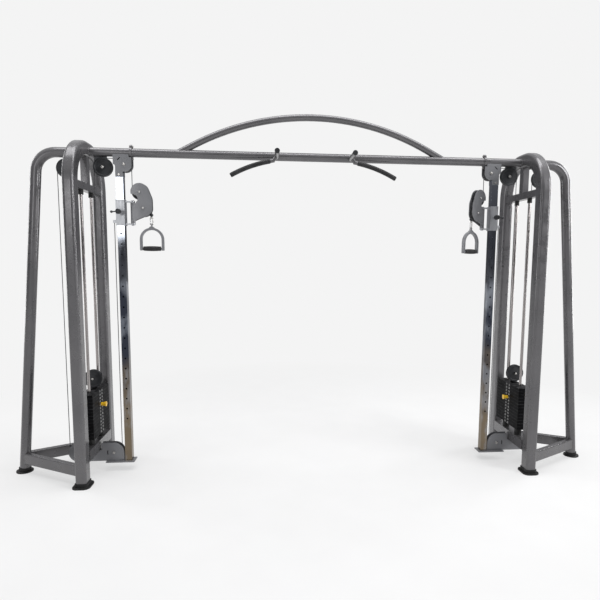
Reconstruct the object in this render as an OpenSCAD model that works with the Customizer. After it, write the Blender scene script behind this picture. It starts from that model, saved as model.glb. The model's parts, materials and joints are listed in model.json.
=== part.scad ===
// Cable crossover machine: two weight towers joined by a crossbar.
// Origin on the floor midway between the towers, +X along the crossbar, +Y to the back, +Z up.

/* [Frame] */
// Half the distance between the two outer feet
foot_x = 2118; // [2050:1:2200]
// Half the distance between the two arched frames, measured to their middles
frame_x = 1605; // [1600:1:1610]
// Distance of the front and rear legs from the middle plane
leg_y = 288; // [285:1:300]
// Width of the arched frame tube across the machine
leg_w = 75; // [72:1:78]
// Depth of the arched frame tube, front to back
leg_d = 100; // [96:1:104]
// Height of the middle of the crown of the arched frames
crown_z = 2316; // [2312:1:2320]
// Bend radius of the arched frames
crown_r = 250; // [230:1:250]
// Diameter of the round outer legs
outer_d = 70; // [66:1:74]
// Bend radius of the outer legs
outer_r = 140; // [120:1:150]
// Lean of the outer legs in degrees
outer_lean = 4.86; // [4:0.01:6]
// Wall thickness of the frame tubes
wall = 3; // [2:0.5:4]

/* [Crossbar] */
// Height of the crossbar
bar_z = 2303; // [2300:1:2306]
// Diameter of the crossbar
bar_d = 60; // [56:1:62]
// Distance of the bolted flanges from the middle
flange_x = 1286; // [1284:1:1290]
// Radius of the curve of the top arch
arch_r = 1810; // [1800:10:1850]
// Height of the highest point of the top arch, to its middle line
arch_top = 2582; // [2540:1:2620]
// Diameter of the top arch
arch_d = 48; // [42:1:50]
// Distance of the pull-up handles from the middle
pull_x = 266; // [240:1:300]

/* [Column] */
// Distance of the columns from the middle
col_x = 1367; // [1366:1:1368]
// Width of the square columns
col_w = 50; // [48:1:50]
// Height of the top of the columns
col_top = 2165; // [2150:1:2165]
// Distance between the height adjustment holes
hole_pitch = 75; // [50:25:100]
// Height of the middle of the carriage latch
latch_z = 1890; // [1885:1:1895]
// Distance of the swivel axis from the middle
swivel_x = 1287; // [1286:1:1288]
// Turn of the right swivel head towards the front, in degrees
right_turn = 30; // [0:1:60]

/* [Weights] */
// Number of plates that stay down
plates_down = 8; // [8:1:8]
// Thickness of one plate
plate_t = 24.6; // [24:0.1:24.8]
// Distance from one plate to the next
plate_pitch = 25; // [25:1:25]
// Length of the plates, front to back
plate_y = 360; // [300:1:380]
// Width of the plates
plate_x = 96; // [80:1:98]
// Height of the underside of the stack
stack_z = 285; // [280:1:290]
// Distance of each guide rod from the middle plane
rod_y = 100; // [90:1:110]
// Radius of the guide rods
rod_r = 10; // [9:0.5:11]

/* [Pulleys] */
// Outer radius of the large pulleys
big_r = 66; // [64:1:66]
// Outer radius of the swivel pulleys
swivel_r = 56; // [54:0.5:56]
// Radius of the pulley axles
axle_r = 6; // [5:0.5:7]
// Diameter of the steel cable
cable_d = 5; // [4:0.5:6]

/* [Hidden] */
$fn = 48;

e = 0.05;
pin_out = 8;
// butt joint between two lengths of tube or cable
gap = 0.02;
cr = cable_d / 2;
big_g = big_r - 4;
sw_g = swivel_r - 3.5;
top_r = 48;
top_g = top_r - 4;
pz = 2200;
outer_pz = 2186;
rod_x = frame_x;
mid_x = rod_x - 2 * big_g;
out_x = rod_x + 2 * big_g;
stackp_z = 690;
colp_x = swivel_x + top_g;
colp_z = 2218;
foot_r = 60;
foot_g = foot_r - 4;
footp_x = 1417 + foot_g;
footp_z = 132;
basep_z = footp_z - foot_g + big_g;
beam_z = 2294;
plates_up = 4;
head_z = stack_z + (plates_down + plates_up) * plate_pitch;
pin_z = stack_z + plates_down * plate_pitch + plate_t / 2;
stem_r = 14;
// swivel pulley centres, measured inwards from the swivel axis
c1 = [sw_g, 2033];
c2 = [75, 1921];
drop_u = c2[0] + sw_g;
ball_z = 1874;
eye_z = 1803;
steel = "#8f9196";
dark = "#2a2b2d";

// ---------- shared shapes ----------
module both() { children(); mirror([1, 0, 0]) children(); }

module rrect(w, d, r) {
  square([w - 2 * r, d], center = true);
  square([w, d - 2 * r], center = true);
  for (i = [-1, 1], j = [-1, 1]) translate([i * (w / 2 - r), j * (d / 2 - r)]) circle(r);
}

module xtube(x0, x1, z, d, t) {
  translate([x0, 0, z]) rotate([0, 90, 0]) difference() {
    cylinder(d = d, h = x1 - x0);
    if (t > 0) translate([0, 0, -1]) cylinder(d = d - 2 * t, h = x1 - x0 + 2);
  }
}

module ycyl(x, y0, y1, z, r) {
  translate([x, y1, z]) rotate([90, 0, 0]) cylinder(r = r, h = y1 - y0);
}

// plate standing in the X-Z plane between two Y positions
module yplate(y0, y1) { translate([0, y1, 0]) rotate([90, 0, 0]) linear_extrude(y1 - y0) children(); }

// grooved pulley on an axis along Y, groove centre line at radius g
module pulley(x, z, r, g, bore) {
  fl = g - cr - 0.2;
  translate([x, 0, z]) rotate([90, 0, 0]) rotate_extrude()
    polygon([[bore + 0.05, -14], [bore + 9, -14], [bore + 10, -10], [r - 14, -9], [r - 10, -12],
      [r, -12], [r, -6], [fl, -3.2], [fl, 3.2], [r, 6], [r, 12], [r - 10, 12], [r - 14, 9],
      [bore + 10, 10], [bore + 9, 14], [bore + 0.05, 14]]);
}

// part of a cable lying on a pulley, from angle a0, over sweep degrees, in the X-Z plane
module arc(x, z, g, a0, sweep) {
  translate([x, 0, z]) rotate([90, 0, 0]) rotate([0, 0, a0])
    rotate_extrude(angle = sweep) translate([g, 0]) circle(r = cr, $fn = 16);
}

// straight round bar from a to b, running o past each end
module rod_between(a, b, r, o = 0) {
  d = b - a;
  l = norm(d);
  translate(a) rotate([0, acos(d[2] / l), atan2(d[1], d[0])])
    translate([0, 0, -o]) cylinder(r = r, h = l + 2 * o, $fn = 24);
}

// ---------- frame ----------
module arch_outline(w, d) {
  r = min(20, w / 2 - 1, d / 2 - 1);
  for (m = [0, 1]) mirror([0, m, 0]) {
    translate([frame_x, -leg_y, 12]) linear_extrude(crown_z - crown_r - 12) rrect(w, d, r);
    translate([frame_x, -(leg_y - crown_r), crown_z - crown_r])
      multmatrix([[0, 0, -1, 0], [-1, 0, 0, 0], [0, 1, 0, 0]])
      rotate_extrude(angle = 90) translate([crown_r, 0]) rrect(d, w, r);
    translate([frame_x, 0, crown_z]) rotate([90, 0, 0])
      linear_extrude(leg_y - crown_r) rrect(w, d, r);
  }
}

module arched_frames() {
  color(steel) both() difference() {
    arch_outline(leg_w, leg_d);
    arch_outline(leg_w - 2 * wall, leg_d - 2 * wall);
    for (m = [-1, 1]) translate([frame_x, m * leg_y, 0]) linear_extrude(20)
      rrect(leg_w - 2 * wall, leg_d - 2 * wall, 17);
  }
}

module outer_line(d) {
  t = outer_lean;
  zc = beam_z - outer_r;
  s = (zc + outer_r * sin(t)) / cos(t);
  xc = foot_x - outer_r * cos(t) - s * sin(t);
  translate([foot_x, 0, 0]) rotate([0, -t, 0]) translate([0, 0, -20]) cylinder(d = d, h = s + 20 - gap);
  translate([xc, 0, zc]) rotate([90, 0, 0]) mirror([0, 0, 1]) rotate([0, 0, t])
    rotate_extrude(angle = 90 - t) translate([outer_r, 0]) circle(d = d);
  xtube(frame_x, xc - gap, beam_z, d, 0);
}

module outer_legs() {
  color(steel) both() difference() {
    outer_line(outer_d);
    outer_line(outer_d - 2 * wall);
    translate([foot_x, 0, -50]) cube([400, 400, 124], center = true);
    translate([frame_x - 60, -60, beam_z - 60]) cube([60 + leg_w / 2, 120, 120]);
  }
}

module flange_plate(x) {
  translate([x, 0, bar_z]) rotate([0, 90, 0]) difference() {
    union() {
      cylinder(r = 38, h = 8);
      for (s = [-1, 1]) translate([s * 42, 0, 0]) cylinder(r = 12, h = 8);
      translate([-42, -12, 0]) cube([84, 24, 8]);
    }
    translate([0, 0, -1]) cylinder(r = bar_d / 2 - wall, h = 10);
    for (s = [-1, 1]) translate([s * 42, 0, -1]) cylinder(r = 5.5, h = 10);
  }
}

module stub_beams() {
  color(steel) both() {
    difference() {
      xtube(flange_x + 8, frame_x, bar_z, bar_d, wall);
      translate([frame_x - leg_w / 2, -60, bar_z - 60]) cube([80, 120, 120]);
    }
    flange_plate(flange_x);
  }
}

module crossbar() {
  color(steel) {
    xtube(-flange_x + 8, flange_x - 8, bar_z, bar_d, wall);
    both() flange_plate(flange_x - 8);
  }
}

module flange_bolts() {
  color("silver") both() for (s = [-1, 1]) translate([flange_x, 0, bar_z + s * 42]) rotate([0, 90, 0]) {
    translate([0, 0, -15]) cylinder(r = 5, h = 30);
    translate([0, 0, 8.1]) cylinder(r = 8, h = 5, $fn = 6);
    translate([0, 0, -13.1]) cylinder(r = 8, h = 5, $fn = 6);
  }
}

module arch_line(d) {
  // bent middle with a straight end each side that runs into the crossbar
  a = 28;
  zc = arch_top - arch_r;
  translate([0, 0, zc]) rotate([90, 0, 0]) rotate([0, 0, 90 - a])
    rotate_extrude(angle = 2 * a, $fn = 150) translate([arch_r, 0]) circle(d = d, $fn = 32);
  both() translate([arch_r * sin(a), 0, zc + arch_r * cos(a)]) rotate([0, 90 + a, 0])
    translate([0, 0, gap]) cylinder(d = d, h = (zc + arch_r * cos(a) - bar_z) / sin(a), $fn = 32);
}

module arch_tube() {
  color(steel) difference() {
    arch_line(arch_d);
    arch_line(arch_d - 2 * wall);
    xtube(-1200, 1200, bar_z, bar_d, 0);
  }
}

module base_tube(m) {
  l = norm([foot_x - 9 - frame_x, leg_y - 8]);
  difference() {
    translate([foot_x - 9, m * 8, 105]) rotate([0, 0, 180 - m * atan2(leg_y - 8, foot_x - 9 - frame_x)])
      rotate([90, 0, 90]) difference() {
        linear_extrude(l) rrect(40, 80, 8);
        translate([0, 0, 70]) linear_extrude(l) rrect(34, 74, 5);
      }
    outer_line(outer_d);
    arch_outline(leg_w, leg_d);
    translate([frame_x - 100, m > 0 ? -500 + e : -e, 0]) cube([900, 500, 300]);
  }
}

module frame_braces() {
  color(steel) both() {
    // upper cross member
    difference() {
      translate([frame_x - 25, -leg_y, 2030]) cube([50, 2 * leg_y, 50]);
      difference() {
        translate([frame_x - 22, -leg_y, 2033]) cube([44, 2 * leg_y, 44]);
        for (m = [-1, 1]) translate([rod_x, m * rod_y, 2020]) cylinder(r = rod_r + 3, h = 60);
      }
      arch_outline(leg_w, leg_d);
      for (m = [-1, 1]) translate([frame_x, m * leg_y, 2055]) cube([100, leg_d - 2, 100], center = true);
      for (m = [-1, 1]) translate([rod_x, m * rod_y, 2020]) cylinder(r = rod_r, h = 30);
    }
    // centre post under the crown
    difference() {
      translate([frame_x - 22, -28, 2080]) cube([44, 56, crown_z - leg_d / 2 - 2080]);
      translate([frame_x - 19, -25, 2079]) cube([38, 50, 400]);
    }
    // lower cross member that carries the stack
    difference() {
      translate([frame_x - 36, -leg_y, 153]) cube([72, 2 * leg_y, 75]);
      difference() {
        translate([frame_x - 33, -leg_y, 156]) cube([66, 2 * leg_y, 69]);
        for (m = [-1, 1]) translate([rod_x, m * rod_y, 150]) cylinder(r = rod_r + 4, h = 80);
      }
      arch_outline(leg_w, leg_d);
      for (m = [-1, 1]) translate([frame_x, m * leg_y, 190]) cube([100, leg_d - 2, 100], center = true);
      for (m = [-1, 1]) translate([rod_x, m * rod_y, 208]) cylinder(r = rod_r, h = 40);
    }
    base_tube(-1);
    base_tube(1);
  }
}

module housing_shape() {
  difference() {
    union() {
      translate([footp_x, footp_z]) circle(r = 74);
      translate([footp_x, 70]) square([74, 62]);
      translate([footp_x - 74, 70]) square([74, 62]);
      translate([footp_x, 70]) square([out_x - footp_x, 136]);
      translate([out_x, basep_z]) circle(r = 68);
    }
    translate([frame_x - 44, 152.9]) square([88, 100]);
    translate([footp_x - 100, 40]) square([500, 30]);
    translate([footp_x, footp_z]) circle(r = axle_r);
    translate([out_x, basep_z]) circle(r = axle_r);
    // curved adjustment slot
    difference() {
      translate([footp_x, footp_z]) circle(r = 50);
      translate([footp_x, footp_z]) circle(r = 42);
      translate([footp_x - 60, footp_z - 60]) square([90, 120]);
      translate([footp_x, footp_z - 60]) square([60, 44]);
      translate([footp_x, footp_z + 16]) square([60, 44]);
    }
  }
}

module cable_housings() {
  color(steel) both() difference() {
    union() {
      yplate(16, 21) housing_shape();
      yplate(-21, -16) housing_shape();
      translate([1322, -45, 62]) cube([205, 90, 8]);
      translate([1500, -21, 70]) cube([8, 42, 1.5]);
    }
    translate([col_x, 0, 60]) cylinder(r = 6, h = 12);
  }
}

module columns() {
  n = floor((latch_z - 390) / hole_pitch);
  color("lightgray") both() difference() {
    translate([col_x - col_w / 2, -col_w / 2, 70]) cube([col_w, col_w, col_top - 70]);
    translate([col_x - col_w / 2 + wall, -col_w / 2 + wall, 60])
      cube([col_w - 2 * wall, col_w - 2 * wall, col_top]);
    for (k = [-n : 1]) ycyl(col_x, -col_w, 0, latch_z + k * hole_pitch, 6.08);
    ycyl(col_x, -40, 40, 2148, 5.05);
  }
}

module bracket_shape() {
  difference() {
    union() {
      translate([colp_x, colp_z]) circle(r = 50);
      translate([colp_x - 50, colp_z]) square([60, 50]);
      // upper part stands against the sides of the crossbar, clear of its flange
      translate([1298, colp_z]) square([108, 70]);
      translate([1342, 2135]) square([50, 100]);
      difference() {
        translate([1391, 2204]) square([15, 15]);
        translate([1406, 2204]) circle(r = 14);
      }
    }
    translate([colp_x, colp_z]) circle(r = axle_r);
    translate([1367, 2148]) circle(r = 5.05);
    // short slanted slot
    translate([1367, 2256]) rotate(-45) {
      square([22, 7], center = true);
      for (s = [-11, 11]) translate([s, 0]) circle(r = 3.5);
    }
  }
}

module hanger(x, w, z, ztop) {
  yplate(18, 24) difference() {
    union() {
      translate([x, z]) circle(r = w / 2);
      translate([x - w / 2, z]) square([w, ztop - z]);
    }
    translate([x, z]) circle(r = axle_r);
  }
}

module pulley_brackets() {
  color(steel) both() {
    difference() {
      for (y = [25.05, -31.05]) yplate(y, y + 6) bracket_shape();
      xtube(flange_x - 200, frame_x, bar_z, bar_d, 0);
    }
    difference() {
      union() {
        hanger(mid_x, 44, pz, 2290);
        yplate(18, 24) translate([mid_x, pz + 20]) square([66, 60]);
      }
      xtube(flange_x, frame_x, bar_z, bar_d, 0);
    }
    difference() {
      hanger(out_x, 44, outer_pz, 2290);
      xtube(frame_x, out_x + 200, beam_z, outer_d, 0);
    }
  }
}

module guide_rods() {
  color("silver") both() for (m = [-1, 1])
    translate([rod_x, m * rod_y, 210]) cylinder(r = rod_r, h = 1838);
}

module stack_bumpers() {
  color(dark) both() for (m = [-1, 1]) translate([rod_x, m * rod_y, 0]) {
    translate([0, 0, 228]) difference() {
      cylinder(r = 26, h = stack_z - 228.4);
      translate([0, 0, -1]) cylinder(r = rod_r + 0.05, h = 80);
    }
    translate([0, 0, 1998]) difference() {
      cylinder(r = 17, h = 31.9);
      translate([0, 0, -1]) cylinder(r = rod_r + 0.05, h = 40);
    }
  }
}

module plate(z, pin = true) {
  difference() {
    translate([rod_x, 0, z + plate_t / 2]) rotate([0, 90, 0]) rotate([0, 0, 90])
      linear_extrude(plate_x, center = true) rrect(plate_y, plate_t, 2);
    for (m = [-1, 1]) translate([rod_x, m * rod_y, z - 1]) cylinder(r = rod_r + 1.5, h = plate_t + 2);
    translate([rod_x, 0, z - 1]) cylinder(r = stem_r + 1.5, h = plate_t + 2);
    if (pin) translate([rod_x - 90, 0, z + plate_t / 2]) rotate([0, 90, 0]) cylinder(r = 5.08, h = 90);
  }
}

module fixed_weight_plates() {
  color(dark) both() for (i = [0 : plates_down - 1]) plate(stack_z + i * plate_pitch);
}

module pulley_axles() {
  color("silver") both() {
    for (p = [[mid_x, pz], [out_x, outer_pz]]) {
      ycyl(p[0], -22, 30, p[1], axle_r);
      ycyl(p[0], -21.9, -14.1, p[1], 10);
      ycyl(p[0], 24.05, 31, p[1], 10);
      ycyl(p[0], 14.05, 17.95, p[1], 9);
    }
    ycyl(colp_x, -36, 36, colp_z, axle_r);
    for (m = [0, 1]) mirror([0, m, 0]) {
      ycyl(colp_x, 31.1, 37, colp_z, 10);
      ycyl(colp_x, 14.05, 25, colp_z, 9);
    }
    ycyl(col_x, -38, 38, 2148, 5);
    for (m = [0, 1]) mirror([0, m, 0]) ycyl(col_x, 31.1, 37, 2148, 8);
    for (p = [[footp_x, footp_z], [out_x, basep_z]]) {
      ycyl(p[0], -26, 26, p[1], axle_r);
      for (m = [0, 1]) mirror([0, m, 0]) {
        ycyl(p[0], 21.05, 27, p[1], 10);
        ycyl(p[0], 14.05, 15.95, p[1], 9);
      }
    }
  }
}

module oval_foot() {
  difference() {
    union() {
      linear_extrude(9) rrect(120, 146, 40);
      linear_extrude(32) rrect(leg_w + 12, leg_d + 12, 24);
    }
    translate([0, 0, 12]) linear_extrude(40) rrect(leg_w + 0.2, leg_d + 0.2, 20.1);
  }
}

module rubber_feet() {
  color("#151515") both() {
    for (m = [-1, 1]) translate([frame_x, m * leg_y, 0]) oval_foot();
    difference() {
      union() {
        translate([foot_x, 0, 0]) cylinder(d = 114, h = 9);
        translate([foot_x, 0, 0]) rotate([0, -outer_lean, 0]) translate([0, 0, -20])
          cylinder(d = outer_d + 12, h = 52);
      }
      translate([foot_x, 0, 0]) rotate([0, -outer_lean, 0]) translate([0, 0, 12])
        cylinder(d = outer_d + 0.2, h = 80);
      difference() {
        translate([foot_x, 0, 27]) cube([90, 90, 30.1], center = true);
        translate([foot_x, 0, 0]) rotate([0, -outer_lean, 0]) translate([0, 0, -50])
          difference() { cylinder(d = 300, h = 200); cylinder(d = outer_d + 0.2, h = 200); }
      }
      translate([foot_x, 0, -50]) cube([400, 400, 100], center = true);
    }
  }
}

module fixed_cables() {
  color("#3a3a3a") both() {
    arc(colp_x, colp_z, top_g, 90, 90);
    rod_between([colp_x, 0, colp_z + top_g], [mid_x, 0, pz + big_g], cr);
    arc(mid_x, pz, big_g, 0, 90);
    arc(out_x, outer_pz, big_g, 0, 180);
    rod_between([out_x + big_g, 0, basep_z], [out_x + big_g, 0, outer_pz], cr);
    arc(out_x, basep_z, big_g, 270, 90);
    rod_between([footp_x, 0, footp_z - foot_g], [out_x, 0, footp_z - foot_g], cr);
    arc(footp_x, footp_z, foot_g, 180, 90);
  }
}

// ---------- parts that ride the weight stack ----------
module weight_plates() {
  color(dark) for (i = [plates_down : plates_down + plates_up - 1]) plate(stack_z + i * plate_pitch);
}

module stack_carrier() {
  color("#4a4b4e") {
    difference() {
      union() {
        plate(head_z, false);
        translate([rod_x, 0, stack_z + 6]) cylinder(r = stem_r, h = head_z + plate_t - stack_z - 6);
        translate([rod_x - 17, -13, head_z + plate_t - 0.1]) cube([34, 39, 7]);
        hanger_up();
        ycyl(rod_x, -22, 24, stackp_z, axle_r);
        ycyl(rod_x, -21.9, -14.1, stackp_z, 10);
        ycyl(rod_x, 14.05, 19, stackp_z, 9);
      }
      for (i = [0 : plates_down + plates_up - 1])
        translate([rod_x - 90, 0, stack_z + plate_t / 2 + i * plate_pitch]) rotate([0, 90, 0])
          cylinder(r = 5.08, h = 180);
    }
  }
}

module hanger_up() {
  yplate(18, 25) {
    translate([rod_x, stackp_z]) circle(r = 17);
    translate([rod_x - 17, head_z + plate_t]) square([34, stackp_z - head_z - plate_t]);
  }
}

module selector_pin() {
  x0 = rod_x - plate_x / 2;
  color("gold") translate([x0, 0, pin_z]) rotate([0, 90, 0]) {
    translate([0, 0, -5]) cylinder(r = 5, h = plate_x / 2 + stem_r + 5);
    translate([0, 0, -10.3]) cylinder(r = 13, h = 10);
    translate([0, 0, -37]) cylinder(r1 = 18, r2 = 13, h = 26.75);
  }
}

module stack_pulley() { color(dark) pulley(rod_x, stackp_z, big_r, big_g, axle_r); }
module mid_pulley() { color(dark) pulley(mid_x, pz, big_r, big_g, axle_r); }
module outer_pulley() { color(dark) pulley(out_x, outer_pz, big_r, big_g, axle_r); }
module column_pulley() { color(dark) pulley(colp_x, colp_z, top_r, top_g, axle_r); }
module base_pulley() { color(dark) pulley(out_x, basep_z, big_r, big_g, axle_r); }
module foot_pulley() { color(dark) pulley(footp_x, footp_z, foot_r, foot_g, axle_r); }

// ---------- carriage ----------
module carriage() {
  o = col_w + 11;
  color("silver") {
    difference() {
      union() {
        translate([col_x - o / 2, -o / 2, 1796]) cube([o, o, 180]);
        for (z = [1803, 1959]) {
          translate([swivel_x, -16, z]) cube([col_x - o / 2 - swivel_x + 1, 32, 9]);
          translate([swivel_x, 0, z]) cylinder(r = 16, h = 9);
        }
        translate([col_x + o / 2 - 1, -8, 1815]) cube([28, 16, 20]);
        ycyl(col_x, -56, -o / 2 + 1, latch_z, 13);
      }
      translate([col_x - col_w / 2 - 0.2, -col_w / 2 - 0.2, 1790])
        cube([col_w + 0.4, col_w + 0.4, 200]);
      ycyl(col_x, -60, 0, latch_z, 6.05);
      translate([swivel_x, 0, 1790]) cylinder(r = 8.02, h = 190);
    }
    // hinge pin with its washers
    translate([swivel_x, 0, 1797]) cylinder(r = 8, h = 177);
    translate([swivel_x, 0, 1798]) cylinder(r = 12, h = 4.9);
    translate([swivel_x, 0, 1968.1]) cylinder(r = 12, h = 5);
  }
}

module pull_pin() {
  // drawn out of the column, ready to be pushed into a hole
  color("#1a1a1a") translate([0, -pin_out, 0]) {
    ycyl(col_x, -70, -19, latch_z, 6);
    ycyl(col_x, -84, -56.3, latch_z, 17);
    rod_between([col_x, -70, latch_z], [col_x + 44, -70, latch_z - 3], 4);
    translate([col_x + 46, -70, latch_z - 3]) sphere(r = 9);
  }
}

// ---------- swivel head, drawn inwards along -X from the swivel axis ----------
module kidney_shape() {
  difference() {
    union() {
      hull() {
        translate([-c1[0], c1[1]]) circle(r = 62);
        translate([-c2[0], c2[1]]) circle(r = 62);
        translate([-70, 1976]) circle(r = 66);
      }
      polygon([[0, 1826], [0, 1936], [-75, 1936], [-75, 1859]]);
    }
    for (c = [c1, c2]) translate([-c[0], c[1]]) circle(r = axle_r);
    translate([-12, 1985]) circle(r = 27);
    translate([-15, 1958]) square([40, 28]);
    translate([-26, 1955]) square([60, 16]);
  }
}

module swivel_bracket_local() {
  color(steel) {
    difference() {
      union() {
        yplate(15, 19) kidney_shape();
        yplate(-19, -15) kidney_shape();
        translate([0, 0, 1813]) cylinder(r = 15.5, h = 145);
      }
      translate([0, 0, 1800]) cylinder(r = 8.05, h = 240);
      translate([-13, -20, 1958]) cube([40, 40, 60]);
    }
    for (c = [c1, c2]) {
      ycyl(-c[0], -23, 23, c[1], axle_r);
      for (m = [0, 1]) mirror([0, m, 0]) ycyl(-c[0], 19.05, 24, c[1], 9);
    }
  }
}

module upper_swivel_pulley_local() { color(dark) pulley(-c1[0], c1[1], swivel_r, sw_g, axle_r); }
module lower_swivel_pulley_local() { color(dark) pulley(-c2[0], c2[1], swivel_r, sw_g, axle_r); }

module handle_cable_local() {
  v = c2 - c1;
  dist = norm(v);
  base = atan2(v[1], -v[0]);
  h = acos(2 * sw_g / dist);
  a1 = base + h;
  p1 = [-c1[0] + sw_g * cos(a1), c1[1] + sw_g * sin(a1)];
  p2 = [-c2[0] - sw_g * cos(a1), c2[1] - sw_g * sin(a1)];
  color("#3a3a3a") {
    arc(-c1[0], c1[1], sw_g, a1, -a1);
    rod_between([p1[0], 0, p1[1]], [p2[0], 0, p2[1]], cr, -gap);
    arc(-c2[0], c2[1], sw_g, a1 + 180, -a1);
    rod_between([-drop_u, 0, ball_z + 14.1], [-drop_u, 0, c2[1] - gap], cr);
  }
}

// ---------- handle ----------
module snap_hook_local() {
  u = -drop_u;
  color("#1a1a1a") translate([u, 0, ball_z]) {
    sphere(r = 13);
    translate([0, 0, 8]) cylinder(r = 6, h = 5.8);
  }
  color("#9a9a9a") {
    translate([u, 0, ball_z - 24]) cylinder(r = 5, h = 16);
    for (s = [-1, 1]) translate([u + s * 9, 0, eye_z + 9]) cylinder(r = 3.5, h = 36);
    translate([u, 0, eye_z + 9]) rotate([90, 0, 0]) rotate([0, 0, 180])
      rotate_extrude(angle = 180) translate([9, 0]) circle(r = 3.5);
    translate([u, 0, eye_z + 45]) rotate([90, 0, 0])
      rotate_extrude(angle = 180) translate([9, 0]) circle(r = 3.5);
  }
}

module stirrup_local() {
  u = -drop_u;
  color("#77797d") translate([u, 0, 0]) {
    // eye ring, standing across the hook
    translate([0, 0, eye_z]) rotate([0, 90, 0]) rotate_extrude() translate([9, 0]) circle(r = 3.2);
    difference() {
      yplate(-11, 11) {
        difference() {
          union() {
            translate([0, 1700]) circle(r = 84);
            polygon([[-30, 1774], [30, 1774], [7, 1794], [-7, 1794]]);
          }
          translate([0, 1700]) circle(r = 68);
          translate([-90, 1600]) square([180, 100]);
        }
        for (s = [-1, 1]) translate([s * 76 - 8, 1630]) square([16, 71]);
        for (s = [-1, 1]) translate([s * 75.5, 1632]) rrect(17, 20, 5);
      }
      for (s = [-1, 1]) translate([s * 75, 0, 1636]) rotate([0, 90, 0])
        cylinder(r = 6, h = 40, center = true);
      translate([-62.2, -20, 1600]) cube([124.4, 40, 60]);
    }
    rod_between([-84, 0, 1636], [84, 0, 1636], 6);
  }
}

module grip_local() {
  color("#1a1a1a") translate([-drop_u, 0, 1636]) rotate([0, 90, 0]) rotate_extrude()
    polygon([[6.06, -61.8], [14, -61.8], [16, -58], [16.5, -30], [18.5, 0], [16.5, 30],
      [16, 58], [14, 61.8], [6.06, 61.8]]);
}

// ---------- moving cables ----------
module column_cable() {
  color("#3a3a3a") rod_between([1417, 0, footp_z], [1417, 0, 1814.9], cr);
}
module stack_cable() {
  color("#3a3a3a") {
    rod_between([rod_x - big_g, 0, stackp_z], [rod_x - big_g, 0, pz], cr);
    rod_between([rod_x + big_g, 0, stackp_z], [rod_x + big_g, 0, outer_pz], cr);
    arc(rod_x, stackp_z, big_g, 180, 180);
  }
}
module drop_cable() { color("#3a3a3a") rod_between([swivel_x, 0, c1[1]], [swivel_x, 0, colp_z], cr); }

// ---------- pull-up handles ----------
module wide_arc(d, t) {
  // gently curved bar falling outwards
  r = 900;
  translate([pull_x + 18, -72, 2262]) rotate([90, 0, 0]) translate([0, 0, 0]) rotate([0, 0, -9])
    translate([0, -r, 0]) rotate([0, 0, 90 - 21]) rotate_extrude(angle = 21, $fn = 120)
      translate([r, 0]) difference() { circle(d = d); if (t > 0) circle(d = d - 2 * t); }
}

module pullup_bars() {
  color(steel) both() {
    difference() {
      union() {
        ycyl(pull_x, -250, 0, 2294, 16);
        wide_arc(26, 0);
        rod_between([pull_x, -72, 2294], [pull_x + 26, -72, 2262], 13);
      }
      xtube(0, 600, bar_z, bar_d, 0);
      translate([pull_x - 40, -24, 2250]) cube([80, 80, 90]);
    }
    difference() {
      ycyl(pull_x, -30, -22, 2294, 16);
      xtube(0, 600, bar_z, bar_d, 0);
    }
  }
}

module pullup_grips() {
  color("#1a1a1a") both() {
    difference() {
      wide_arc(34, 4);
      ycyl(pull_x, -260, 0, 2294, 17);
      translate([pull_x - 60, -130, 2200]) cube([105, 130, 130]);
    }
    ycyl(pull_x, -264, -250.05, 2294, 18);
  }
}

// ---------- placing the parts of each side ----------
module left_side() { mirror([1, 0, 0]) children(); }
module head_right() { translate([swivel_x, 0, 0]) rotate([0, 0, right_turn]) children(); }
module head_left() { mirror([1, 0, 0]) translate([swivel_x, 0, 0]) children(); }

module left_weight_plates() { left_side() weight_plates(); }
module left_stack_carrier() { left_side() stack_carrier(); }
module left_selector_pin() { left_side() selector_pin(); }
module left_stack_pulley() { left_side() stack_pulley(); }
module left_mid_pulley() { left_side() mid_pulley(); }
module left_outer_pulley() { left_side() outer_pulley(); }
module left_column_pulley() { left_side() column_pulley(); }
module left_base_pulley() { left_side() base_pulley(); }
module left_foot_pulley() { left_side() foot_pulley(); }
module left_carriage() { left_side() carriage(); }
module left_pull_pin() { left_side() pull_pin(); }
module left_swivel_bracket() { head_left() swivel_bracket_local(); }
module left_upper_swivel_pulley() { head_left() upper_swivel_pulley_local(); }
module left_lower_swivel_pulley() { head_left() lower_swivel_pulley_local(); }
module left_column_cable() { left_side() column_cable(); }
module left_stack_cable() { left_side() stack_cable(); }
module left_drop_cable() { left_side() drop_cable(); }
module left_handle_cable() { head_left() handle_cable_local(); }
module left_snap_hook() { head_left() snap_hook_local(); }
module left_stirrup() { head_left() stirrup_local(); }
module left_grip() { head_left() grip_local(); }
module right_weight_plates() { weight_plates(); }
module right_stack_carrier() { stack_carrier(); }
module right_selector_pin() { selector_pin(); }
module right_stack_pulley() { stack_pulley(); }
module right_mid_pulley() { mid_pulley(); }
module right_outer_pulley() { outer_pulley(); }
module right_column_pulley() { column_pulley(); }
module right_base_pulley() { base_pulley(); }
module right_foot_pulley() { foot_pulley(); }
module right_carriage() { carriage(); }
module right_pull_pin() { pull_pin(); }
module right_swivel_bracket() { head_right() swivel_bracket_local(); }
module right_upper_swivel_pulley() { head_right() upper_swivel_pulley_local(); }
module right_lower_swivel_pulley() { head_right() lower_swivel_pulley_local(); }
module right_column_cable() { column_cable(); }
module right_stack_cable() { stack_cable(); }
module right_drop_cable() { drop_cable(); }
module right_handle_cable() { head_right() handle_cable_local(); }
module right_snap_hook() { head_right() snap_hook_local(); }
module right_stirrup() { head_right() stirrup_local(); }
module right_grip() { head_right() grip_local(); }

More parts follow.
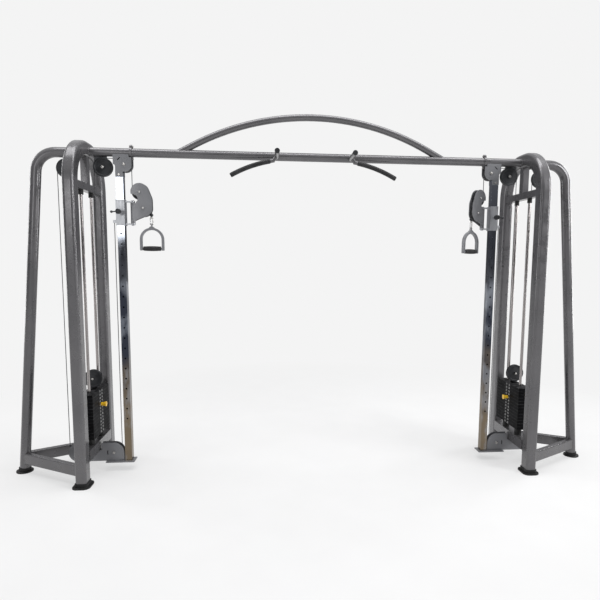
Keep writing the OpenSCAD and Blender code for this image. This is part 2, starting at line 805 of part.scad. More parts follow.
crossbar();
arch_tube();
pullup_bars();
pullup_grips();
outer_legs();
arched_frames();
stub_beams();
flange_bolts();
frame_braces();
cable_housings();
columns();
pulley_brackets();
guide_rods();
stack_bumpers();
fixed_weight_plates();
pulley_axles();
rubber_feet();
fixed_cables();
left_weight_plates();
left_stack_carrier();
left_selector_pin();
left_stack_pulley();
left_mid_pulley();
left_outer_pulley();
left_column_pulley();
left_base_pulley();
left_foot_pulley();
left_carriage();
left_pull_pin();
left_swivel_bracket();
left_upper_swivel_pulley();
left_lower_swivel_pulley();
left_column_cable();
left_stack_cable();
left_drop_cable();
left_handle_cable();
left_snap_hook();
left_stirrup();
left_grip();
right_weight_plates();
right_stack_carrier();
right_selector_pin();
right_stack_pulley();
right_mid_pulley();
right_outer_pulley();
right_column_pulley();
right_base_pulley();
right_foot_pulley();
right_carriage();
right_pull_pin();
right_swivel_bracket();
right_upper_swivel_pulley();
right_lower_swivel_pulley();
right_column_cable();
right_stack_cable();
right_drop_cable();
right_handle_cable();
right_snap_hook();
right_stirrup();
right_grip();
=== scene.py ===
"""Looks for the cable crossover machine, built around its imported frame. Metres, +Z up."""
import json
import math

import bmesh
import bpy
from mathutils import Matrix, Vector

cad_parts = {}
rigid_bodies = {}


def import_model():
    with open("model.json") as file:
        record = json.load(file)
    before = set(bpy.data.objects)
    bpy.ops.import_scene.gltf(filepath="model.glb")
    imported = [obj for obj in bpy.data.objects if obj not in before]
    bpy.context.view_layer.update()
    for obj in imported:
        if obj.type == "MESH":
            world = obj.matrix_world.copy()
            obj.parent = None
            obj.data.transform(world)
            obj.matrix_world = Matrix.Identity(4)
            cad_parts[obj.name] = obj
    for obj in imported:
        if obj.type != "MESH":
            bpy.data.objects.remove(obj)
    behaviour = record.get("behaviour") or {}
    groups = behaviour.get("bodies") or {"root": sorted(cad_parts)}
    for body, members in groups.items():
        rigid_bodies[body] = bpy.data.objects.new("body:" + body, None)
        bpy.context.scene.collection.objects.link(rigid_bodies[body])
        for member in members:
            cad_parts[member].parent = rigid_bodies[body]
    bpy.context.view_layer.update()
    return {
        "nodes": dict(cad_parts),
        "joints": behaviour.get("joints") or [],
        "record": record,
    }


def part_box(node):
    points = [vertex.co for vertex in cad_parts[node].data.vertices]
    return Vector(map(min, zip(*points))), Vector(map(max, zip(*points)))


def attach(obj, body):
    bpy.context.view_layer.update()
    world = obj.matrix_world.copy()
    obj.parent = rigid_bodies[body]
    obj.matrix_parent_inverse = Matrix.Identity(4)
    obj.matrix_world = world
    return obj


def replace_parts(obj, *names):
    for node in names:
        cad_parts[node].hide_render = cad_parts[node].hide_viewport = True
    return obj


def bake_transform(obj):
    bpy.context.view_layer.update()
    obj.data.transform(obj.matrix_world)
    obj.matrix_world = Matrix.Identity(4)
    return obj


for leftover in list(bpy.data.objects):
    bpy.data.objects.remove(leftover, do_unlink=True)

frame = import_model()
joints = {j["name"]: j for j in frame["joints"]}
SIDES = {"left": -1, "right": 1}
Z, FRONT = Vector((0, 0, 1)), Vector((0, -1, 0))

MM = 0.001
CABLE_R = 2.5 * MM          # radius of the coated cable
GROOVE_R = 62 * MM          # cable radius on the large pulleys
SWIVEL_GROOVE_R = 52.5 * MM  # cable radius on the swivel pulleys
PLATE_PITCH = 25 * MM       # spacing of the weight plates
PLATE_COUNT = 13            # plates in a stack, with its head
KG_PER_PLATE, LB_PER_KG = 5, 2.2
CROSSBAR_Z, BEAM_Z = 2.303, 2.294   # heights of the crossbar and of the outer legs' beams
CROSSBAR_R, BEAM_R = 30 * MM, 35 * MM
LEG_HALF_W = 37.5 * MM      # half the width of the arched frame's tube
FLANGE_FACES = (1.278, 1.294)       # outer faces of the bolted flanges, from the middle

# a Mix node keeps its colour sockets after its number and vector ones
MIX_A, MIX_B, MIX_RESULT = 6, 7, 2


# ---------- materials ----------
class Material:
    """A node material with short helpers for procedural detail in object space."""

    def __init__(self, name):
        self.material = bpy.data.materials.new(name)
        self.material.use_nodes = True
        self.nodes = self.material.node_tree.nodes
        self.links = self.material.node_tree.links
        self.shader = self.nodes["Principled BSDF"]
        self.coords = self.nodes.new("ShaderNodeTexCoord").outputs["Object"]

    def put(self, socket, value):
        if hasattr(value, "is_output"):
            self.links.new(value, socket)
        else:
            socket.default_value = value

    def noise(self, scale, detail=3, stretch=(1, 1, 1)):
        mapping = self.nodes.new("ShaderNodeMapping")
        mapping.inputs["Scale"].default_value = stretch
        self.links.new(self.coords, mapping.inputs["Vector"])
        n = self.nodes.new("ShaderNodeTexNoise")
        n.inputs["Scale"].default_value = scale
        n.inputs["Detail"].default_value = detail
        self.links.new(mapping.outputs["Vector"], n.inputs["Vector"])
        return n.outputs["Fac"]

    def strands(self, scale):
        """Slanting bands, like the lay of a cable."""
        n = self.nodes.new("ShaderNodeTexWave")
        n.bands_direction = "DIAGONAL"
        n.inputs["Scale"].default_value = scale
        self.links.new(self.coords, n.inputs["Vector"])
        return n.outputs["Fac"]

    def span(self, value, low, high, to_low=0.0, to_high=1.0):
        n = self.nodes.new("ShaderNodeMapRange")
        self.put(n.inputs["Value"], value)
        for key, v in (("From Min", low), ("From Max", high), ("To Min", to_low), ("To Max", to_high)):
            n.inputs[key].default_value = v
        return n.outputs["Result"]

    def mix(self, fac, a, b):
        n = self.nodes.new("ShaderNodeMix")
        n.data_type = "RGBA"
        self.put(n.inputs["Factor"], fac)
        self.put(n.inputs[MIX_A], a if hasattr(a, "is_output") else (*a, 1))
        self.put(n.inputs[MIX_B], b if hasattr(b, "is_output") else (*b, 1))
        return n.outputs[MIX_RESULT]

    def math(self, kind, a, b=0.0):
        n = self.nodes.new("ShaderNodeMath")
        n.operation = kind
        self.put(n.inputs[0], a)
        self.put(n.inputs[1], b)
        return n.outputs[0]

    def axis(self, name):
        n = self.nodes.new("ShaderNodeSeparateXYZ")
        self.links.new(self.coords, n.inputs[0])
        return n.outputs[name]

    def rounded(self, radius):
        """Soft edges: returns the rounded normal and a mask that is 1 on worn edges."""
        bevel = self.nodes.new("ShaderNodeBevel")
        bevel.samples = 4
        bevel.inputs["Radius"].default_value = radius
        geometry = self.nodes.new("ShaderNodeNewGeometry")
        dot = self.nodes.new("ShaderNodeVectorMath")
        dot.operation = "DOT_PRODUCT"
        self.links.new(bevel.outputs["Normal"], dot.inputs[0])
        self.links.new(geometry.outputs["Normal"], dot.inputs[1])
        return bevel.outputs["Normal"], self.span(dot.outputs["Value"], 0.9, 0.6)

    def finish(self, color, rough, metal=0.0, bump=None, strength=0.1, depth=0.0005, normal=None, **extra):
        s = self.shader.inputs
        self.put(s["Base Color"], color if hasattr(color, "is_output") else (*color, 1))
        self.put(s["Roughness"], rough)
        s["Metallic"].default_value = metal
        for key, value in extra.items():
            self.put(s[key.replace("_", " ")], value)
        if bump is not None:
            n = self.nodes.new("ShaderNodeBump")
            n.inputs["Strength"].default_value = strength
            n.inputs["Distance"].default_value = depth
            self.put(n.inputs["Height"], bump)
            if normal is not None:
                self.links.new(normal, n.inputs["Normal"])
            self.links.new(n.outputs["Normal"], s["Normal"])
        elif normal is not None:
            self.links.new(normal, s["Normal"])
        return self.material


def painted(name, light, dark, rough=0.32, metal=0.35, edge=(0.34, 0.34, 0.35)):
    """Satin sprayed paint: orange peel, cloudy tone, scuffed edges and a little floor dust."""
    m = Material(name)
    worn = m.rounded(1.6 * MM)[1]
    tone = m.mix(m.span(m.noise(2.2, 4), 0.35, 0.65), dark, light)
    dusty = m.math("MULTIPLY", m.span(m.axis("Z"), 0.35, 0.02), m.span(m.noise(38, 5), 0.4, 0.75))
    tone = m.mix(m.math("MULTIPLY", dusty, 0.25), tone, (0.16, 0.14, 0.125))
    scuffs = m.math("MULTIPLY", worn, m.span(m.noise(60, 4), 0.5, 0.75))
    tone = m.mix(m.math("MULTIPLY", scuffs, 0.25), tone, edge)
    gloss = m.span(m.noise(14, 5), 0.3, 0.7, rough - 0.06, rough + 0.1)
    return m.finish(tone, gloss, metal, m.noise(420, 2), 0.03, 0.0003,
                    Coat_Weight=0.25, Coat_Roughness=0.12)


def plated(name, color, rough, streak=0.3, along=(1, 1, 0.04)):
    """Bright plated steel with faint polishing lines and hazy patches."""
    m = Material(name)
    normal, _ = m.rounded(0.8 * MM)
    haze = m.span(m.noise(5, 5), 0.35, 0.75)
    tone = m.mix(m.math("MULTIPLY", haze, 0.5), color, tuple(c * 0.72 for c in color))
    gloss = m.span(m.noise(260, 2, along), 0.3, 0.7, rough, rough + streak * 0.3)
    return m.finish(tone, gloss, 1.0, m.noise(700, 1, along), 0.03, 0.0002, normal)


def chrome_tube(name):
    """Mirror chrome with a gradient down its length, and slight waviness that breaks up reflections."""
    m = Material(name)
    normal, _ = m.rounded(1.2 * MM)
    # what the tube seems to mirror: a paler room at the top, a dark one below, a warm floor at the foot
    height = m.math("ADD", m.axis("Z"), m.span(m.noise(7, 5, (1, 1, 0.6)), 0.3, 0.7, -0.22, 0.22))
    tone = m.mix(m.span(height, 1.25, 1.75), (0.035, 0.04, 0.055), (0.30, 0.32, 0.36))
    tone = m.mix(m.span(height, 0.95, 0.35), tone, (0.17, 0.135, 0.095))
    smear = m.span(m.noise(16, 5, (1, 1, 0.35)), 0.5, 0.62)
    tone = m.mix(m.math("MULTIPLY", smear, 0.35), tone, (0.34, 0.37, 0.42))
    gloss = m.span(m.noise(30, 4, (1, 1, 0.2)), 0.3, 0.8, 0.04, 0.16)
    return m.finish(tone, gloss, 1.0, m.noise(11, 2, (1, 1, 0.5)), 0.12, 0.002, normal)


def moulded(name, color, rough, grain=320, strength=0.12, sheen=0.0):
    """Moulded plastic or rubber: fine grain, faint scuffs and cloudy gloss."""
    m = Material(name)
    normal, worn = m.rounded(1.0 * MM)
    light = tuple(min(1, c * 1.9 + 0.012) for c in color)
    tone = m.mix(m.span(m.noise(18, 5), 0.4, 0.8), color, light)
    tone = m.mix(m.math("MULTIPLY", worn, 0.35), tone, tuple(c * 2 + 0.03 for c in color))
    gloss = m.span(m.noise(25, 4), 0.3, 0.7, rough - 0.07, rough + 0.1)
    return m.finish(tone, gloss, 0.0, m.noise(grain, 3), strength, 0.0004, normal,
                    Sheen_Weight=sheen, Specular_IOR_Level=0.32)


def stack_paint(name):
    """Black powder coat on the plates, with painted highlight and wear from rubbing along their edges and
    black painted shade in the gaps.
    """
    m = Material(name)
    normal, _ = m.rounded(1.2 * MM)
    tone = m.mix(m.span(m.noise(12, 5), 0.35, 0.7), (0.004, 0.004, 0.0045), (0.009, 0.009, 0.010))
    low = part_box("fixed_weight_plates")[0][2]
    turns = m.math("FRACT", m.math("MULTIPLY", m.math("SUBTRACT", m.axis("Z"), low), 1 / PLATE_PITCH))
    # 0 at mid height of a plate, near 0.5 in the seam to the next one
    seam = m.math("ABSOLUTE", m.math("SUBTRACT", turns, 0.49))
    # paler band along each plate's edges: painted highlight, broken up by noise as wear from rubbing
    highlight_and_rubbing = m.math("MULTIPLY", m.span(seam, 0.38, 0.43), m.span(m.noise(30, 4), 0.3, 0.7))
    # painted shade: near-black lines in the gaps between plates
    tone = m.mix(m.span(seam, 0.44, 0.46), tone, (0.001, 0.001, 0.001))
    tone = m.mix(m.math("MULTIPLY", highlight_and_rubbing, 0.6), tone, (0.07, 0.07, 0.074))
    gloss = m.span(m.noise(20, 4), 0.3, 0.7, 0.5, 0.66)
    return m.finish(tone, gloss, 0.0, m.noise(900, 2), 0.1, 0.0002, normal,
                    Specular_IOR_Level=0.05)


def pin_plastic(name):
    """Yellow knob on a plated steel shaft: the shaft starts where the stack face is."""
    m = Material(name)
    normal, _ = m.rounded(1.0 * MM)
    face = abs(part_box("left_weight_plates")[1][0])
    shaft = m.math("GREATER_THAN", m.math("ABSOLUTE", m.axis("X")), face + 0.0002)
    yellow = m.mix(m.span(m.noise(40, 4), 0.3, 0.7), (0.75, 0.42, 0.01), (0.90, 0.56, 0.03))
    tone = m.mix(shaft, yellow, (0.6, 0.6, 0.6))
    m.links.new(shaft, m.shader.inputs["Metallic"])
    gloss = m.span(m.noise(60, 3), 0.3, 0.7, 0.25, 0.38)
    return m.finish(tone, gloss, 0.0, m.noise(300, 2), 0.05, 0.0003, normal)


def cable_coat(name):
    """Plastic-coated cable with the lay of the strands showing through."""
    m = Material(name)
    tone = m.mix(m.span(m.noise(90, 3), 0.35, 0.7), (0.022, 0.022, 0.024), (0.075, 0.075, 0.08))
    gloss = m.span(m.noise(60, 3), 0.3, 0.7, 0.3, 0.45)
    return m.finish(tone, gloss, 0.0, m.strands(160), 0.25, 0.0003)


MATERIALS = {
    "frame_paint": painted("silver_grey_paint", (0.145, 0.142, 0.148), (0.112, 0.110, 0.115), 0.28, 0.65),
    "bracket_paint": painted("bracket_grey_paint", (0.195, 0.198, 0.21), (0.16, 0.163, 0.173), 0.38, 0.3),
    "chrome": chrome_tube("chrome_plate"),
    "bright_steel": plated("zinc_plated_steel", (0.50, 0.49, 0.475), 0.24),
    "carriage_steel": plated("satin_plated_sleeve", (0.46, 0.47, 0.49), 0.3, 0.5),
    "black_plastic": moulded("black_nylon", (0.014, 0.015, 0.017), 0.38),
    "black_rubber": moulded("black_rubber_feet", (0.009, 0.009, 0.009), 0.62, 240, 0.3),
    "grip_rubber": moulded("black_grip_rubber", (0.012, 0.012, 0.013), 0.6, 520, 0.4, 0.1),
    "stack_steel": stack_paint("black_powder_coat"),
    "pin_yellow": pin_plastic("yellow_pin_knob"),
    "cable": cable_coat("coated_cable"),
}
TAG = moulded("grey_number_tag", (0.045, 0.045, 0.048), 0.5, 500, 0.1)
INK = moulded("pale_number_ink", (0.34, 0.34, 0.33), 0.6, 500, 0.1)
GUIDE = plated("polished_guide_rod", (0.40, 0.375, 0.37), 0.12, 0.25)

for row in frame["record"]["subparts"]:
    for holder in frame["nodes"][row["node"]].material_slots:
        holder.material = MATERIALS[row["material_slot"]]
for holder in frame["nodes"]["guide_rods"].material_slots:
    holder.material = GUIDE


# ---------- building blocks ----------
def piece(name, bm, material, body=None, smooth=True):
    """Turns a bmesh into a named object with its material, riding on a body."""
    bmesh.ops.recalc_face_normals(bm, faces=bm.faces)
    mesh = bpy.data.meshes.new(name)
    bm.to_mesh(mesh)
    bm.free()
    obj = bpy.data.objects.new(name, mesh)
    bpy.context.scene.collection.objects.link(obj)
    mesh.materials.append(material)
    if smooth:
        mesh.polygons.foreach_set("use_smooth", [True] * len(mesh.polygons))
        mesh.set_sharp_from_angle(angle=math.radians(38))
    if body:
        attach(obj, body)
    return obj


def around(count):
    """The angles of count equal steps around a circle."""
    return [2 * math.pi * k / count for k in range(count)]


def wall(bm, a, b):
    """Faces between two rings of vertices."""
    count = len(a)
    for k in range(count):
        bm.faces.new((a[k], a[(k + 1) % count], b[(k + 1) % count], b[k]))


def sweep(bm, path, radius, sides=12):
    """Tube along a list of points. radius is a number or a function of 0..1 along the path."""
    path = [Vector(p) for p in path]
    side = None
    rings = []
    for i, p in enumerate(path):
        ahead = path[min(i + 1, len(path) - 1)] - path[max(i - 1, 0)]
        ahead.normalize()
        if side is None:
            side = ahead.orthogonal().normalized()
        side = (side - ahead * side.dot(ahead)).normalized()
        up = ahead.cross(side)
        r = radius(i / (len(path) - 1)) if callable(radius) else radius
        rings.append([bm.verts.new(p + (side * math.cos(a) + up * math.sin(a)) * r) for a in around(sides)])
    for a, b in zip(rings, rings[1:]):
        wall(bm, a, b)
    bm.faces.new(list(reversed(rings[0])))
    bm.faces.new(rings[-1])


def ring(bm, centre, axis, radius, thickness, sides=10, steps=48, wobble=0.0):
    """Closed bead around an axis, used for welds and rings. wobble ripples it like laid weld."""
    axis = Vector(axis).normalized()
    x = axis.orthogonal().normalized()
    y = axis.cross(x)
    loops = []
    for a in around(steps):
        out = x * math.cos(a) + y * math.sin(a)
        t = thickness * (1 + wobble * math.sin(a * steps / 3))
        section = (out * (radius + t * math.cos(b)) + axis * t * math.sin(b) for b in around(sides))
        loops.append([bm.verts.new(Vector(centre) + offset) for offset in section])
    for i in range(steps):
        wall(bm, loops[i], loops[(i + 1) % steps])


def lathe(bm, profile, centre, axis, steps=32):
    """Turned shape: profile is (radius, distance along the axis); first and last radius are 0."""
    turn = Vector(axis).to_track_quat("Z", "Y").to_matrix()
    rings = []
    for r, h in profile:
        if r == 0:
            rings.append([bm.verts.new(Vector(centre) + turn @ Vector((0, 0, h)))])
        else:
            points = (Vector((r * math.cos(a), r * math.sin(a), h)) for a in around(steps))
            rings.append([bm.verts.new(Vector(centre) + turn @ point) for point in points])
    for a, b in zip(rings, rings[1:]):
        for k in range(steps):
            n = (k + 1) % steps
            corners = [a[k % len(a)], a[n % len(a)], b[n % len(b)], b[k % len(b)]]
            bm.faces.new(list(dict.fromkeys(corners)))
    return rings[-1]


def arc_points(centre, u, v, radius, start, end, steps):
    """Points on an arc in the plane of u and v, angles in degrees."""
    angles = (math.radians(start + (end - start) * i / steps) for i in range(steps + 1))
    return [Vector(centre) + (Vector(u) * math.cos(a) + Vector(v) * math.sin(a)) * radius for a in angles]


def line_points(a, b, steps):
    a, b = Vector(a), Vector(b)
    return [a.lerp(b, i / steps) for i in range(steps + 1)]


def box_mesh(bm, centre, size, bevel):
    """Small bevelled block."""
    made = bmesh.ops.create_cube(bm, size=1, matrix=Matrix.LocRotScale(centre, None, size))
    edges = {e for v in made["verts"] for e in v.link_edges}
    bmesh.ops.bevel(bm, geom=list(edges), offset=bevel, segments=2, affect="EDGES")


# ---------- weight stack numbers ----------
SEGMENTS = {  # the bars of a plain seven-bar digit: (x, z, is the bar upright)
    "a": (0, 1, False), "b": (0.5, 0.5, True), "c": (0.5, -0.5, True), "d": (0, -1, False),
    "e": (-0.5, -0.5, True), "f": (-0.5, 0.5, True), "g": (0, 0, False)}
TAG_Y = 22 * MM             # distance of a tag's middle from the pin holes
TAG_SIZE = (1.2 * MM, 26 * MM, 16 * MM)
TAG_FACE = 0.7 * MM         # how far the digits stand out of the plate
DIGIT_SIZE = 5 * MM         # half a digit's height
BAR_DEPTH = 0.5 * MM
DIGITS = {"0": "abcdef", "1": "bc", "2": "abged", "3": "abgcd", "4": "fgbc",
          "5": "afgcd", "6": "afgedc", "7": "abc", "8": "abcdefg", "9": "abcdfg"}


def number(bm, text, centre, side, size):
    """Digits raised on the inward face of a plate, read from the middle of the machine."""
    face = Vector((-side, 0, 0))
    right = Z.cross(face)
    step = size * 1.7
    for i, digit in enumerate(text):
        at = Vector(centre) + right * (i - (len(text) - 1) / 2) * step
        for bar in DIGITS[digit]:
            x, z, upright = SEGMENTS[bar]
            long, thin = size * 1.05, size * 0.34
            span = (BAR_DEPTH, thin, long) if upright else (BAR_DEPTH, long, thin)
            box_mesh(bm, at + right * x * size + Z * z * size, span, 0.12 * MM)


def stack_numbers(name, side, face_x, low, count, first, body):
    """Grey tags with each plate's load, kilograms and pounds either side of the pin holes."""
    tags, ink = bmesh.new(), bmesh.new()
    for i in range(count):
        z = low + (i + 0.5) * PLATE_PITCH
        load = KG_PER_PLATE * (PLATE_COUNT - first - i)
        for offset, value in ((-TAG_Y, load), (TAG_Y, round(load * LB_PER_KG))):
            at = Vector((face_x, offset, z))
            box_mesh(tags, at, TAG_SIZE, 0.4 * MM)
            number(ink, str(value), at - Vector((side * TAG_FACE, 0, 0)), side, DIGIT_SIZE)
    piece(name + "_tags", tags, TAG, body, smooth=False)
    piece(name + "_numbers", ink, INK, body, smooth=False)


# ---------- fixings, welds and other frame detail ----------
def button_head(bm, centre, axis, radius):
    """Domed socket screw head standing on a washer."""
    s = radius
    # radius and height, as shares of the head's radius
    washer = [(0, 0), (1.25 * s, 0), (1.3 * s, 0.12 * s), (1.25 * s, 0.25 * s)]
    dome = [(s, 0.27 * s), (0.97 * s, 0.5 * s), (0.8 * s, 0.75 * s), (0.58 * s, 0.88 * s)]
    mouth = lathe(bm, washer + dome, centre, axis, 24)
    # hexagon socket
    turn = Vector(axis).to_track_quat("Z", "Y").to_matrix()
    corners = (Vector((0.5 * s * math.cos(a), 0.5 * s * math.sin(a), 0.88 * s))
               for a in (math.pi / 3 * k for k in range(6)))
    rim = [bm.verts.new(Vector(centre) + turn @ corner) for corner in corners]
    floor = [bm.verts.new(v.co - Vector(axis).normalized() * 0.45 * s) for v in rim]
    wall(bm, rim, floor)
    bm.faces.new(floor)
    edges = {e for v in mouth + rim for e in v.link_edges if e.is_boundary}
    bmesh.ops.bridge_loops(bm, edges=list(edges))


def along_y(joint_name, y):
    """Point on a joint's axis at the depth y."""
    p = joints[joint_name]["pos_m"]
    return Vector((p[0], y, p[2]))


BOLT_R, SMALL_BOLT_R = 7 * MM, 5.5 * MM
TOP_Y, COLUMN_Y, HOUSING_Y, SWIVEL_Y = 22 * MM, 37 * MM, 27 * MM, 24 * MM   # from pulley to bolt head
for side_name, side in SIDES.items():
    heads = bmesh.new()
    for pulley, y in (("mid_pulley", -TOP_Y), ("outer_pulley", -TOP_Y), ("column_pulley", -COLUMN_Y),
                      ("base_pulley", -HOUSING_Y), ("foot_pulley", -HOUSING_Y)):
        button_head(heads, along_y(f"{side_name}_{pulley}_spin", y), FRONT, BOLT_R)
    for pulley, y in (("column_pulley", COLUMN_Y), ("base_pulley", HOUSING_Y), ("foot_pulley", HOUSING_Y)):
        button_head(heads, along_y(f"{side_name}_{pulley}_spin", y), -FRONT, BOLT_R)
    piece(f"{side_name}_pulley_bolts", heads, MATERIALS["bright_steel"], "frame")

    head = bmesh.new()
    button_head(head, along_y(f"{side_name}_stack_pulley_spin", -TOP_Y), FRONT, BOLT_R)
    piece(f"{side_name}_stack_bolt", head, MATERIALS["bright_steel"],
          f"{side_name}_stack")

    bolts = bmesh.new()
    for pulley in ("upper_swivel_pulley", "lower_swivel_pulley"):
        j = joints[f"{side_name}_{pulley}_spin"]
        for way in (1, -1):
            axis = Vector(j["axis"]) * way
            button_head(bolts, Vector(j["pos_m"]) + axis * SWIVEL_Y, axis, SMALL_BOLT_R)
    piece(f"{side_name}_swivel_bolts", bolts, MATERIALS["bright_steel"],
          f"{side_name}_swivel")

    # welds where the round tubes meet the arched frame and its cross members
    frame_x = joints[f"{side_name}_stack_lift"]["pos_m"][0]
    seat = 0.5 * MM     # how far a bead's middle stands off the tube
    beads = bmesh.new()
    for x, z, tube_r, bead in (
            (frame_x - side * LEG_HALF_W, CROSSBAR_Z, CROSSBAR_R, 2.6 * MM),
            (frame_x + side * LEG_HALF_W, BEAM_Z, BEAM_R, 2.8 * MM),
            (side * FLANGE_FACES[1], CROSSBAR_Z, CROSSBAR_R, 2.2 * MM),
            (side * FLANGE_FACES[0], CROSSBAR_Z, CROSSBAR_R, 2.2 * MM)):
        ring(beads, (x, 0, z), (1, 0, 0), tube_r + seat, bead, wobble=0.18)
    piece(f"{side_name}_weld_beads", beads, MATERIALS["frame_paint"], "frame")

    # numbers on the plates
    face_x = side * abs(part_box(f"{side_name}_weight_plates")[1 if side < 0 else 0][0])
    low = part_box("fixed_weight_plates")[0][2]
    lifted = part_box(f"{side_name}_weight_plates")[0][2]
    down = round((lifted - low) / PLATE_PITCH)
    stack_numbers(f"{side_name}_down", side, face_x, low, down, 0, "frame")
    stack_numbers(f"{side_name}_lift", side, face_x, lifted, PLATE_COUNT - down, down,
                  f"{side_name}_stack")


# ---------- cables, fixed in place ---
CABLE_GAP = 0.6 * MM


def cable(name, path, node):
    """Coated cable swept along a path, fixed in the world, in place of a part of the model."""
    bm = bmesh.new()
    sweep(bm, path, CABLE_R, 12)
    obj = piece(name, bm, MATERIALS["cable"])
    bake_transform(obj)
    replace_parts(obj, node)


for side_name, side in SIDES.items():
    stack_x, _, stack_z = joints[f"{side_name}_stack_pulley_spin"]["pos_m"]
    top_z = joints[f"{side_name}_mid_pulley_spin"]["pos_m"][2]
    outer_z = joints[f"{side_name}_outer_pulley_spin"]["pos_m"][2]
    # the strand on the inner side hangs from the mid pulley, the other one from the outer pulley
    left_z, right_z = (top_z, outer_z) if side > 0 else (outer_z, top_z)
    loop = line_points((stack_x - GROOVE_R, 0, left_z), (stack_x - GROOVE_R, 0, stack_z), 40)
    loop += arc_points((stack_x, 0, stack_z), (1, 0, 0), (0, 0, 1), GROOVE_R, 180, 360, 24)[1:-1]
    loop += line_points((stack_x + GROOVE_R, 0, stack_z), (stack_x + GROOVE_R, 0, right_z), 40)
    cable(f"{side_name}_stack_cable_coated", loop, f"{side_name}_stack_cable")

    low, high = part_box(f"{side_name}_column_cable")
    x = (low[0] + high[0]) / 2
    cable(f"{side_name}_column_cable_coated", line_points((x, 0, low[2]), (x, 0, high[2]), 60),
          f"{side_name}_column_cable")

    low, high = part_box(f"{side_name}_drop_cable")
    x = (low[0] + high[0]) / 2
    end = low[2] + CABLE_GAP    # clear of the length that turns with the head
    cable(f"{side_name}_drop_cable_coated", line_points((x, 0, high[2]), (x, 0, end), 40),
          f"{side_name}_drop_cable")

    # from the swivel axis, around both swivel pulleys, down to the ball stopper
    upper = Vector(joints[f"{side_name}_upper_swivel_pulley_spin"]["pos_m"])
    lower = Vector(joints[f"{side_name}_lower_swivel_pulley_spin"]["pos_m"])
    hook = Vector(joints[f"{side_name}_handle_pull"]["pos_m"])
    out = (hook - upper) * Vector((1, 1, 0))
    out.normalize()
    gap = lower - upper
    # where the crossing strand leaves the upper pulley: degrees from outward, turning up
    tangent = math.degrees(math.atan2(gap.z, gap.dot(out)) - math.acos(2 * SWIVEL_GROOVE_R / gap.length))
    path = arc_points(upper, out, Z, SWIVEL_GROOVE_R, -180, tangent, 20)
    path += arc_points(lower, out, Z, SWIVEL_GROOVE_R, tangent + 180, 0, 20)
    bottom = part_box(f"{side_name}_handle_cable")[0][2] - 2 * MM
    drop = lower + out * SWIVEL_GROOVE_R
    path += line_points(drop, (drop.x, drop.y, bottom), 50)[1:]
    cable(f"{side_name}_handle_cable_coated", path, f"{side_name}_handle_cable")


# ---------- handles ----------
BALL_R = 13             # millimetres, as are this section's profiles of (radius, height)
EYE_R = 9 * MM          # bend radius of the hook's wire
GRIP_HALF = 58          # half the barrel's length between its end flanges, in millimetres
RIB_PITCH = 2
for side_name in SIDES:
    hook_body = f"{side_name}_hook"
    along = Vector(joints[f"{side_name}_grip_spin"]["axis"])    # unit vector along the grip
    across = Z.cross(along)
    eye = Vector(joints[f"{side_name}_handle_swing"]["pos_m"])
    ball_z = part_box(f"{side_name}_snap_hook")[1][2] - (BALL_R + 1) * MM

    # moulded ball stopper with its parting seam and cable collar
    ball = bmesh.new()
    shape = [(BALL_R * math.sin(a) * MM, -BALL_R * math.cos(a) * MM)
             for a in (math.pi * k / 16 for k in range(1, 16))]
    collar = [(6 * MM, 13.2 * MM), (4 * MM, 14 * MM), (0, 14 * MM)]
    lathe(ball, [(0, -BALL_R * MM)] + shape + collar, (eye.x, eye.y, ball_z), Z)
    ring(ball, (eye.x, eye.y, ball_z), Z, BALL_R * MM, 0.5 * MM, 6)
    stopper = piece(f"{side_name}_ball_stopper", ball, MATERIALS["black_plastic"],
                    hook_body)

    # swaged eye and snap hook with a hinged gate
    steel = bmesh.new()
    swaged = [(0, -12), (4.5, -12), (5, -10), (5, 6), (0, 6)]
    lathe(steel, [(r * MM, h * MM) for r, h in swaged], (eye.x, eye.y, ball_z - 14 * MM), Z)
    high_c = Vector((eye.x, eye.y, ball_z - 26 * MM))
    low_c = Vector((eye.x, eye.y, eye.z + EYE_R))
    loop = arc_points(high_c, along, Z, EYE_R, 200, 0, 18)
    loop += arc_points(low_c, along, Z, EYE_R, 0, -200, 18)
    sweep(steel, loop, 3.4 * MM, 12)
    piece(f"{side_name}_hook_wire", steel, MATERIALS["bright_steel"], hook_body)
    gate = bmesh.new()
    sweep(gate, line_points(high_c - along * EYE_R - Z * 2 * MM, low_c - along * EYE_R + Z * 3 * MM, 8),
          lambda t: (2.9 - 0.5 * math.sin(math.pi * t)) * MM, 12)
    hinge = [(0, -4.5), (2.4, -4.5), (2.6, -4), (2.6, 4), (2.4, 4.5), (0, 4.5)]
    lathe(gate, [(r * MM, h * MM) for r, h in hinge], low_c - along * EYE_R + Z * 4 * MM, across)
    piece(f"{side_name}_hook_gate", gate, MATERIALS["carriage_steel"], hook_body)
    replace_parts(stopper, f"{side_name}_snap_hook")

    # barrel grip with shallow moulded rings and flanged ends
    centre = Vector(joints[f"{side_name}_grip_spin"]["pos_m"])
    grip = bmesh.new()
    flange = [(6.1, 61.8), (13.2, 61.8), (15.6, 60.4), (16.2, GRIP_HALF)]
    outline = [(r, -h) for r, h in flange]
    for k in range(GRIP_HALF - 1):
        x = RIB_PITCH * (k + 1) - GRIP_HALF
        swell = 18.2 - 2.4 * (x / GRIP_HALF) ** 2
        outline.append((swell - (0.5 if k % 2 else 0), x))
    outline += reversed(flange)
    outline = [(r * MM, h * MM) for r, h in outline]
    lathe(grip, outline + [outline[0]], centre, along, 40)
    # the profile's two ends meet inside the bore
    bmesh.ops.remove_doubles(grip, verts=grip.verts, dist=0.00001)
    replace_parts(piece(f"{side_name}_barrel_grip", grip, MATERIALS["grip_rubber"],
                      f"{side_name}_grip_body"), f"{side_name}_grip")


